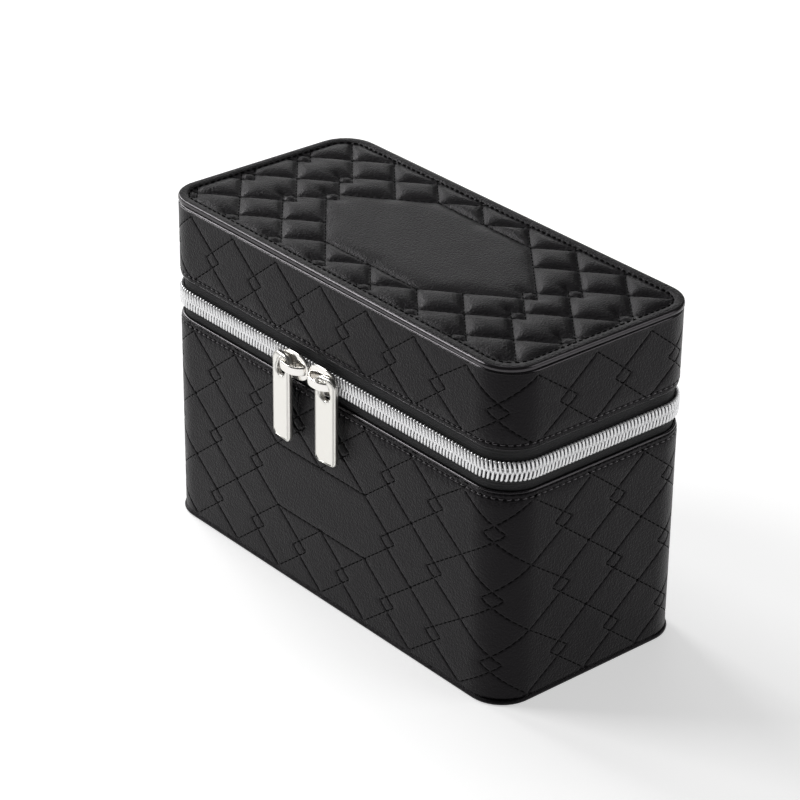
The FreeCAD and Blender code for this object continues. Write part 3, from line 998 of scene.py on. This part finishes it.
def make_tab(name, node_name):
    """Folded ribbon with a rounded fold at its top and a slight wave."""
    low, high = box_mm(node_name)
    half, middle = (high[0] - low[0]) / 2, (high[0] + low[0]) / 2
    levels = np.linspace(low[2], high[2] - half, TAB_LEVELS)
    profile = [(half, z) for z in levels[:-1]]
    profile += arc_points(0, high[2] - half, half, 0, 180, TAB_FOLD)
    profile += [(-half, z) for z in levels[-2::-1]]
    rings = []
    for y in np.linspace(low[1], high[1], TAB_RINGS):
        thin = 1 - TAB_WAVE + TAB_WAVE * math.cos(2 * math.pi * (y - low[1]) / (high[1] - low[1]))
        rings.append(np.array([(middle + thin * x, y, z) for x, z in profile]))
    points, faces = loft(rings)
    tab = new_piece(name, points, faces, ribbon, "tray")
    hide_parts(node_name)


make_tab("ribbon_left", "tray_tab_left")
make_tab("ribbon_right", "tray_tab_right")


# Sliders and their crowns

PLATE_DEPTH = 1.3
PLATE_POWER = 2.5
PLATE_EDGE = 0.4
PULL_ROOM = 0.25
WEDGE_HALF = (1.8, 1.2)
WEDGE_INSET = 2.4
WEDGE_EDGE = 0.1
BLOCK_POINTS = 64
CROWN_HALF_LENGTH = 5.9
CROWN_HALF_HEIGHT = 1.6
CROWN_HALF_DEPTH = 0.5
CROWN_SINK = 0.3
CROWN_RINGS = 41
CROWN_POINTS = 24
CROWN_POWER = 3.0
CROWN_ARCH = (2.6, 0.75)


def superellipse(count, power):
    """Cosines and sines of count steps round a rounded square; a power of 2 is a circle."""
    angles = np.linspace(0, 2 * math.pi, count, endpoint=False)
    steps = np.stack([np.cos(angles), np.sin(angles)])
    return np.copysign(np.abs(steps) ** (2 / power), steps)


def rounded_block(y_from, y_to, x, half_x, half_z, power, edge):
    """Points and faces of a plate between two depths, centred on the zip, with rounded edges."""
    steps = ((0, 1), (0.3, 0.3), (1, 0))
    profile = [(y_from + depth * edge, inset * edge) for depth, inset in steps]
    profile += [(y_to - depth * edge, inset * edge) for depth, inset in steps[::-1]]
    c, s = superellipse(BLOCK_POINTS, power)
    rings = []
    for y, inset in profile:
        across, level = x + c * (half_x - inset), ZIP_LEVEL + s * (half_z - inset)
        rings.append(np.column_stack([across, np.full(BLOCK_POINTS, y), level]))
    return loft(rings)


def make_slider(side, head):
    """Two rounded plates, in front of the zip and behind it, joined by a wedge at the head of the slider."""
    low, high = box_mm("slider_%s_body" % side)
    x, half_x, half_z = (low[0] + high[0]) / 2, (high[0] - low[0]) / 2, (high[2] - low[2]) / 2
    front = (low[1] + PULL_ROOM, low[1] + PLATE_DEPTH)
    back = (high[1] - PLATE_DEPTH, high[1])
    wedge = (front[1] - PLATE_EDGE, back[0] + PLATE_EDGE)
    wedge_x = x + head * (half_x - WEDGE_INSET)
    points, faces = joined([
        rounded_block(*front, x, half_x, half_z, PLATE_POWER, PLATE_EDGE),
        rounded_block(*back, x, half_x, half_z, PLATE_POWER, PLATE_EDGE),
        rounded_block(*wedge, wedge_x, *WEDGE_HALF, 2.0, WEDGE_EDGE),
    ])
    slider = new_piece("slider_" + side, points, faces, nickel, side + "_slider")
    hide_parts("slider_%s_body" % side)


def make_crown(side):
    """Polished strip that arches from one end of the slider's front plate to the other."""
    low, high = box_mm("slider_%s_crown" % side)
    centre_x, centre_z = (low[0] + high[0]) / 2, (low[2] + high[2]) / 2
    rise = high[1] - low[1] - CROWN_HALF_DEPTH + CROWN_SINK
    x = CROWN_HALF_LENGTH * np.sin(np.linspace(-1, 1, CROWN_RINGS) * math.pi / 2)
    flat, steep = CROWN_ARCH
    y = high[1] + CROWN_SINK - rise * (1 - np.abs(x / CROWN_HALF_LENGTH) ** flat) ** steep
    along = np.stack([np.gradient(x), np.gradient(y)], axis=1)
    along /= np.linalg.norm(along, axis=1)[:, None]
    c, s = superellipse(CROWN_POINTS, CROWN_POWER)
    out, level = s * CROWN_HALF_DEPTH, centre_z + c * CROWN_HALF_HEIGHT
    rings = []
    for place_x, place_y, (dx, dy) in zip(x, y, along):
        rings.append(np.column_stack([centre_x + place_x + out * dy, place_y - out * dx, level]))
    points, faces = loft(rings)
    crown = new_piece("crown_" + side, points, faces, nickel, side + "_slider")
    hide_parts("slider_%s_crown" % side)


# Pulls

PULL_DROP = 29.0
PULL_EDGE = 0.45
PULL_DOME = 0.25
DOME_MARGIN = 1.0
PULL_GRID = 1.2
GRID_ROOM = 0.4
FOOT_RADIUS = 2.2
HEAD_RADIUS = 3.4
EYE_TOP_RADIUS = 1.5
EYE_FOOT_RADIUS = 2.4
EYE_DROP = 2.5


def offset_loop(loop, distance):
    """Closed 2-D loop moved to its left by a distance."""
    ahead = np.roll(loop, -1, axis=0) - np.roll(loop, 1, axis=0)
    ahead /= np.linalg.norm(ahead, axis=1)[:, None]
    return loop + distance * np.column_stack([-ahead[:, 1], ahead[:, 0]])


def in_loop(points, loop):
    """True for 2-D points inside a closed loop."""
    inside = np.zeros(len(points), bool)
    for (x0, y0), (x1, y1) in zip(loop, np.roll(loop, -1, axis=0)):
        if y0 != y1:
            crosses = (points[:, 1] < y0) != (points[:, 1] < y1)
            at = x0 + (points[:, 1] - y0) / (y1 - y0) * (x1 - x0)
            inside ^= crosses & (points[:, 0] < at)
    return inside


def pull_loops(half, top):
    """Outline of a pull about its hanging point, and its eye, both anticlockwise."""
    foot_x, foot_z = half - FOOT_RADIUS, FOOT_RADIUS - PULL_DROP
    head_x, head_z = half - HEAD_RADIUS, top - HEAD_RADIUS
    outer = arc_points(foot_x, foot_z, FOOT_RADIUS, -90, 0, 9)
    outer += arc_points(head_x, head_z, HEAD_RADIUS, 0, 90, 12)
    outer += arc_points(-head_x, head_z, HEAD_RADIUS, 90, 180, 12)
    outer += arc_points(-foot_x, foot_z, FOOT_RADIUS, 180, 270, 9)
    eye = arc_points(0, 0, EYE_TOP_RADIUS, 15, 165, 10)
    eye += arc_points(0, -EYE_DROP, EYE_FOOT_RADIUS, 172, 368, 18)
    return np.array(outer), np.array(eye)


def pull_rim(loop, sense, half_depth, count):
    """Rounded edge along a loop of a pull, numbered from count, with its front and back loops."""
    profile = []
    for turn in np.radians([90, 60, 30, 0]):
        inset = PULL_EDGE * (1 - math.cos(turn))
        profile.append((inset, half_depth - PULL_EDGE * (1 - math.sin(turn))))
    profile += [(inset, -depth) for inset, depth in profile[::-1]]
    rings = []
    for inset, depth in profile:
        moved = offset_loop(loop, sense * inset)
        rings.append(np.column_stack([moved[:, 0], np.full(len(loop), -depth), moved[:, 1]]))
    front, end = range(count, count + len(loop)), count + len(rings) * len(loop)
    faces = skirt(front, rings[1:], front.stop, sense < 0)
    return rings, faces, front, range(end - len(loop), end)


def pull_plate(outer, eye, half, top):
    """Inner points of a pull's flat sides, and triangles that fill them up to the outline and the eye."""
    grid = np.meshgrid(np.arange(-half, half, PULL_GRID), np.arange(-PULL_DROP, top, PULL_GRID))
    grid = np.stack(grid, axis=-1).reshape(-1, 2)
    room = PULL_EDGE + GRID_ROOM
    grid = grid[in_loop(grid, offset_loop(outer, room)) & ~in_loop(grid, offset_loop(eye, -room))]
    outline, hole = offset_loop(outer, PULL_EDGE), offset_loop(eye, -PULL_EDGE)
    flat = np.concatenate([outline, hole, grid])
    plate = triangles(flat)
    middles = np.array([flat[face].mean(axis=0) for face in plate])
    good = in_loop(middles, outline) & ~in_loop(middles, hole)
    return grid, [face for face, ok in zip(plate, good) if ok]


def make_pull(side, yaw):
    """Satin pull, a little domed, that hangs turned by yaw on the outer leg of its crown."""
    name = "pull_" + side
    low, high = box_mm(name)
    half, half_depth = (high[0] - low[0]) / 2, (high[1] - low[1]) / 2
    top = high[2] - ZIP_LEVEL
    outer, eye = pull_loops(half, top)
    points, faces, front, back = [], [], [], []
    for loop, sense in ((outer, 1), (eye, -1)):
        rings, rim_faces, front_loop, back_loop = pull_rim(loop, sense, half_depth, sum(map(len, points)))
        points += rings
        faces += rim_faces
        front += front_loop
        back += back_loop
    grid, plate = pull_plate(outer, eye, half, top)
    dome = PULL_DOME * np.clip(1 - (grid[:, 0] / (half - DOME_MARGIN)) ** 2, 0, 1)
    flat_back = np.full(len(grid), half_depth)
    for rim, depth, order in ((front, -half_depth - dome, 1), (back, flat_back, -1)):
        count = sum(map(len, points))
        index = rim + list(range(count, count + len(grid)))
        points.append(np.column_stack([grid[:, 0], depth, grid[:, 1]]))
        faces += [[index[i] for i in face[::order]] for face in plate]
    x, y, z = np.concatenate(points).T
    c, s = math.cos(math.radians(yaw)), math.sin(math.radians(yaw))
    hang = ((low[0] + high[0]) / 2, (low[1] + high[1]) / 2, ZIP_LEVEL)
    turned = np.column_stack([c * x - s * y, s * x + c * y, z]) + hang
    pull = new_piece("zip_" + name, turned, faces, satin, side + "_pull")
    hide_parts(name)


for side, head, yaw in (("left", 1, -5.0), ("right", -1, 4.0)):
    make_slider(side, head)
    make_crown(side)
    make_pull(side, yaw)


# Looks of the CAD nodes, for those that keep their shape

finishes = {
    "zip_tape": tape, "nickel": nickel, "satin_nickel": satin, "lining": suede, "board": board,
    "ribbon": ribbon, "foam": foam, "black_leather": leather, "zip_coil": coil,
}
for part in frame["record"]["subparts"]:
    item = frame["nodes"][part["node"]]
    item.data.materials.clear()
    item.data.materials.append(finishes[part["material_slot"]].material)


# Stage and camera, in metres

FLOOR_SIZE = 6.0
FLOOR_GLOW = 0.50
WORLD_LIGHT = 0.10
LIGHT_DISTANCE = 4.0
AIM = Vector((0, 0, 0.06))
WHITE = (1.0, 1.0, 1.0, 1.0)


def seen_rays(tree):
    """1 for rays from the camera and for mirrored or refracted ones."""
    path = node(tree, "LightPath")
    total = path.outputs["Is Camera Ray"]
    for name in ("Is Glossy Ray", "Is Transmission Ray"):
        total = node(tree, "Math", {0: total, 1: path.outputs[name]}, operation="MAXIMUM").outputs[0]
    return total


def stage_floor():
    """White floor that keeps the case's shadow."""
    mesh = bpy.data.meshes.new("floor")
    corners = [(-1, -1, 0), (1, -1, 0), (1, 1, 0), (-1, 1, 0)]
    mesh.from_pydata([Vector(corner) * FLOOR_SIZE for corner in corners], [], [(0, 1, 2, 3)])
    floor = bpy.data.objects.new("floor", mesh)
    scene.collection.objects.link(floor)
    material = bpy.data.materials.new("floor_white")
    material.use_nodes = True
    tree = material.node_tree
    tree.nodes.clear()
    paper = node(tree, "BsdfDiffuse", {"Color": (0.86, 0.86, 0.86, 1.0)})
    glow = node(tree, "Emission", {"Color": WHITE, "Strength": FLOOR_GLOW})
    both = node(tree, "AddShader", {0: paper.outputs[0], 1: glow.outputs[0]})
    mix = node(tree, "MixShader", {"Fac": seen_rays(tree), 1: paper.outputs[0], 2: both.outputs[0]})
    node(tree, "OutputMaterial", {"Surface": mix.outputs[0]})
    mesh.materials.append(material)


def stage_world():
    """White surroundings to the camera, softer light for everything else."""
    world = bpy.data.worlds.new("studio")
    scene.world = world
    world.use_nodes = True
    tree = world.node_tree
    tree.nodes.clear()
    white = node(tree, "Background", {"Color": WHITE, "Strength": 1.0})
    soft = node(tree, "Background", {"Color": WHITE, "Strength": WORLD_LIGHT})
    camera_ray = node(tree, "LightPath").outputs["Is Camera Ray"]
    mix = node(tree, "MixShader", {"Fac": camera_ray, 1: soft.outputs[0], 2: white.outputs[0]})
    node(tree, "OutputWorld", {"Surface": mix.outputs[0]})


def area_light(name, toward, size, power):
    """Square softbox that faces the case from a direction."""
    data = bpy.data.lights.new(name, "AREA")
    data.shape = "SQUARE"
    data.size = size
    data.energy = power
    lamp = bpy.data.objects.new(name, data)
    scene.collection.objects.link(lamp)
    direction = Vector(toward).normalized()
    lamp.location = AIM + direction * LIGHT_DISTANCE
    lamp.rotation_mode = "QUATERNION"
    lamp.rotation_quaternion = direction.to_track_quat("Z", "Y")


stage_floor()
stage_world()
area_light("key", (-0.67, -0.47, 0.57), 1.4, 65.0)
area_light("left", (-0.85, 0.05, 0.52), 1.8, 85.0)
area_light("back", (-0.74, 0.64, 0.20), 1.4, 9.0)
area_light("overhead", (-0.35, 0.30, 0.89), 1.6, 10.0)
area_light("side", (0.8, 0.55, 0.45), 2.2, 25.0)

# Camera, fitted to the photograph's 800 by 800 frame
camera_data = bpy.data.cameras.new("camera")
camera_data.lens = 131.86
camera_data.sensor_width = 36.0
camera_data.clip_start = 0.01
camera = bpy.data.objects.new("camera", camera_data)
scene.collection.objects.link(camera)
right = Vector((0.64539, 0.76378, 0.01065))
up = Vector((-0.36429, 0.29551, 0.88316))
turn = Matrix((right, up, right.cross(up))).transposed().to_4x4()
camera.matrix_world = Matrix.Translation((0.67434, -0.58554, 0.53941)) @ turn
scene.camera = camera
scene.view_settings.view_transform = "Standard"
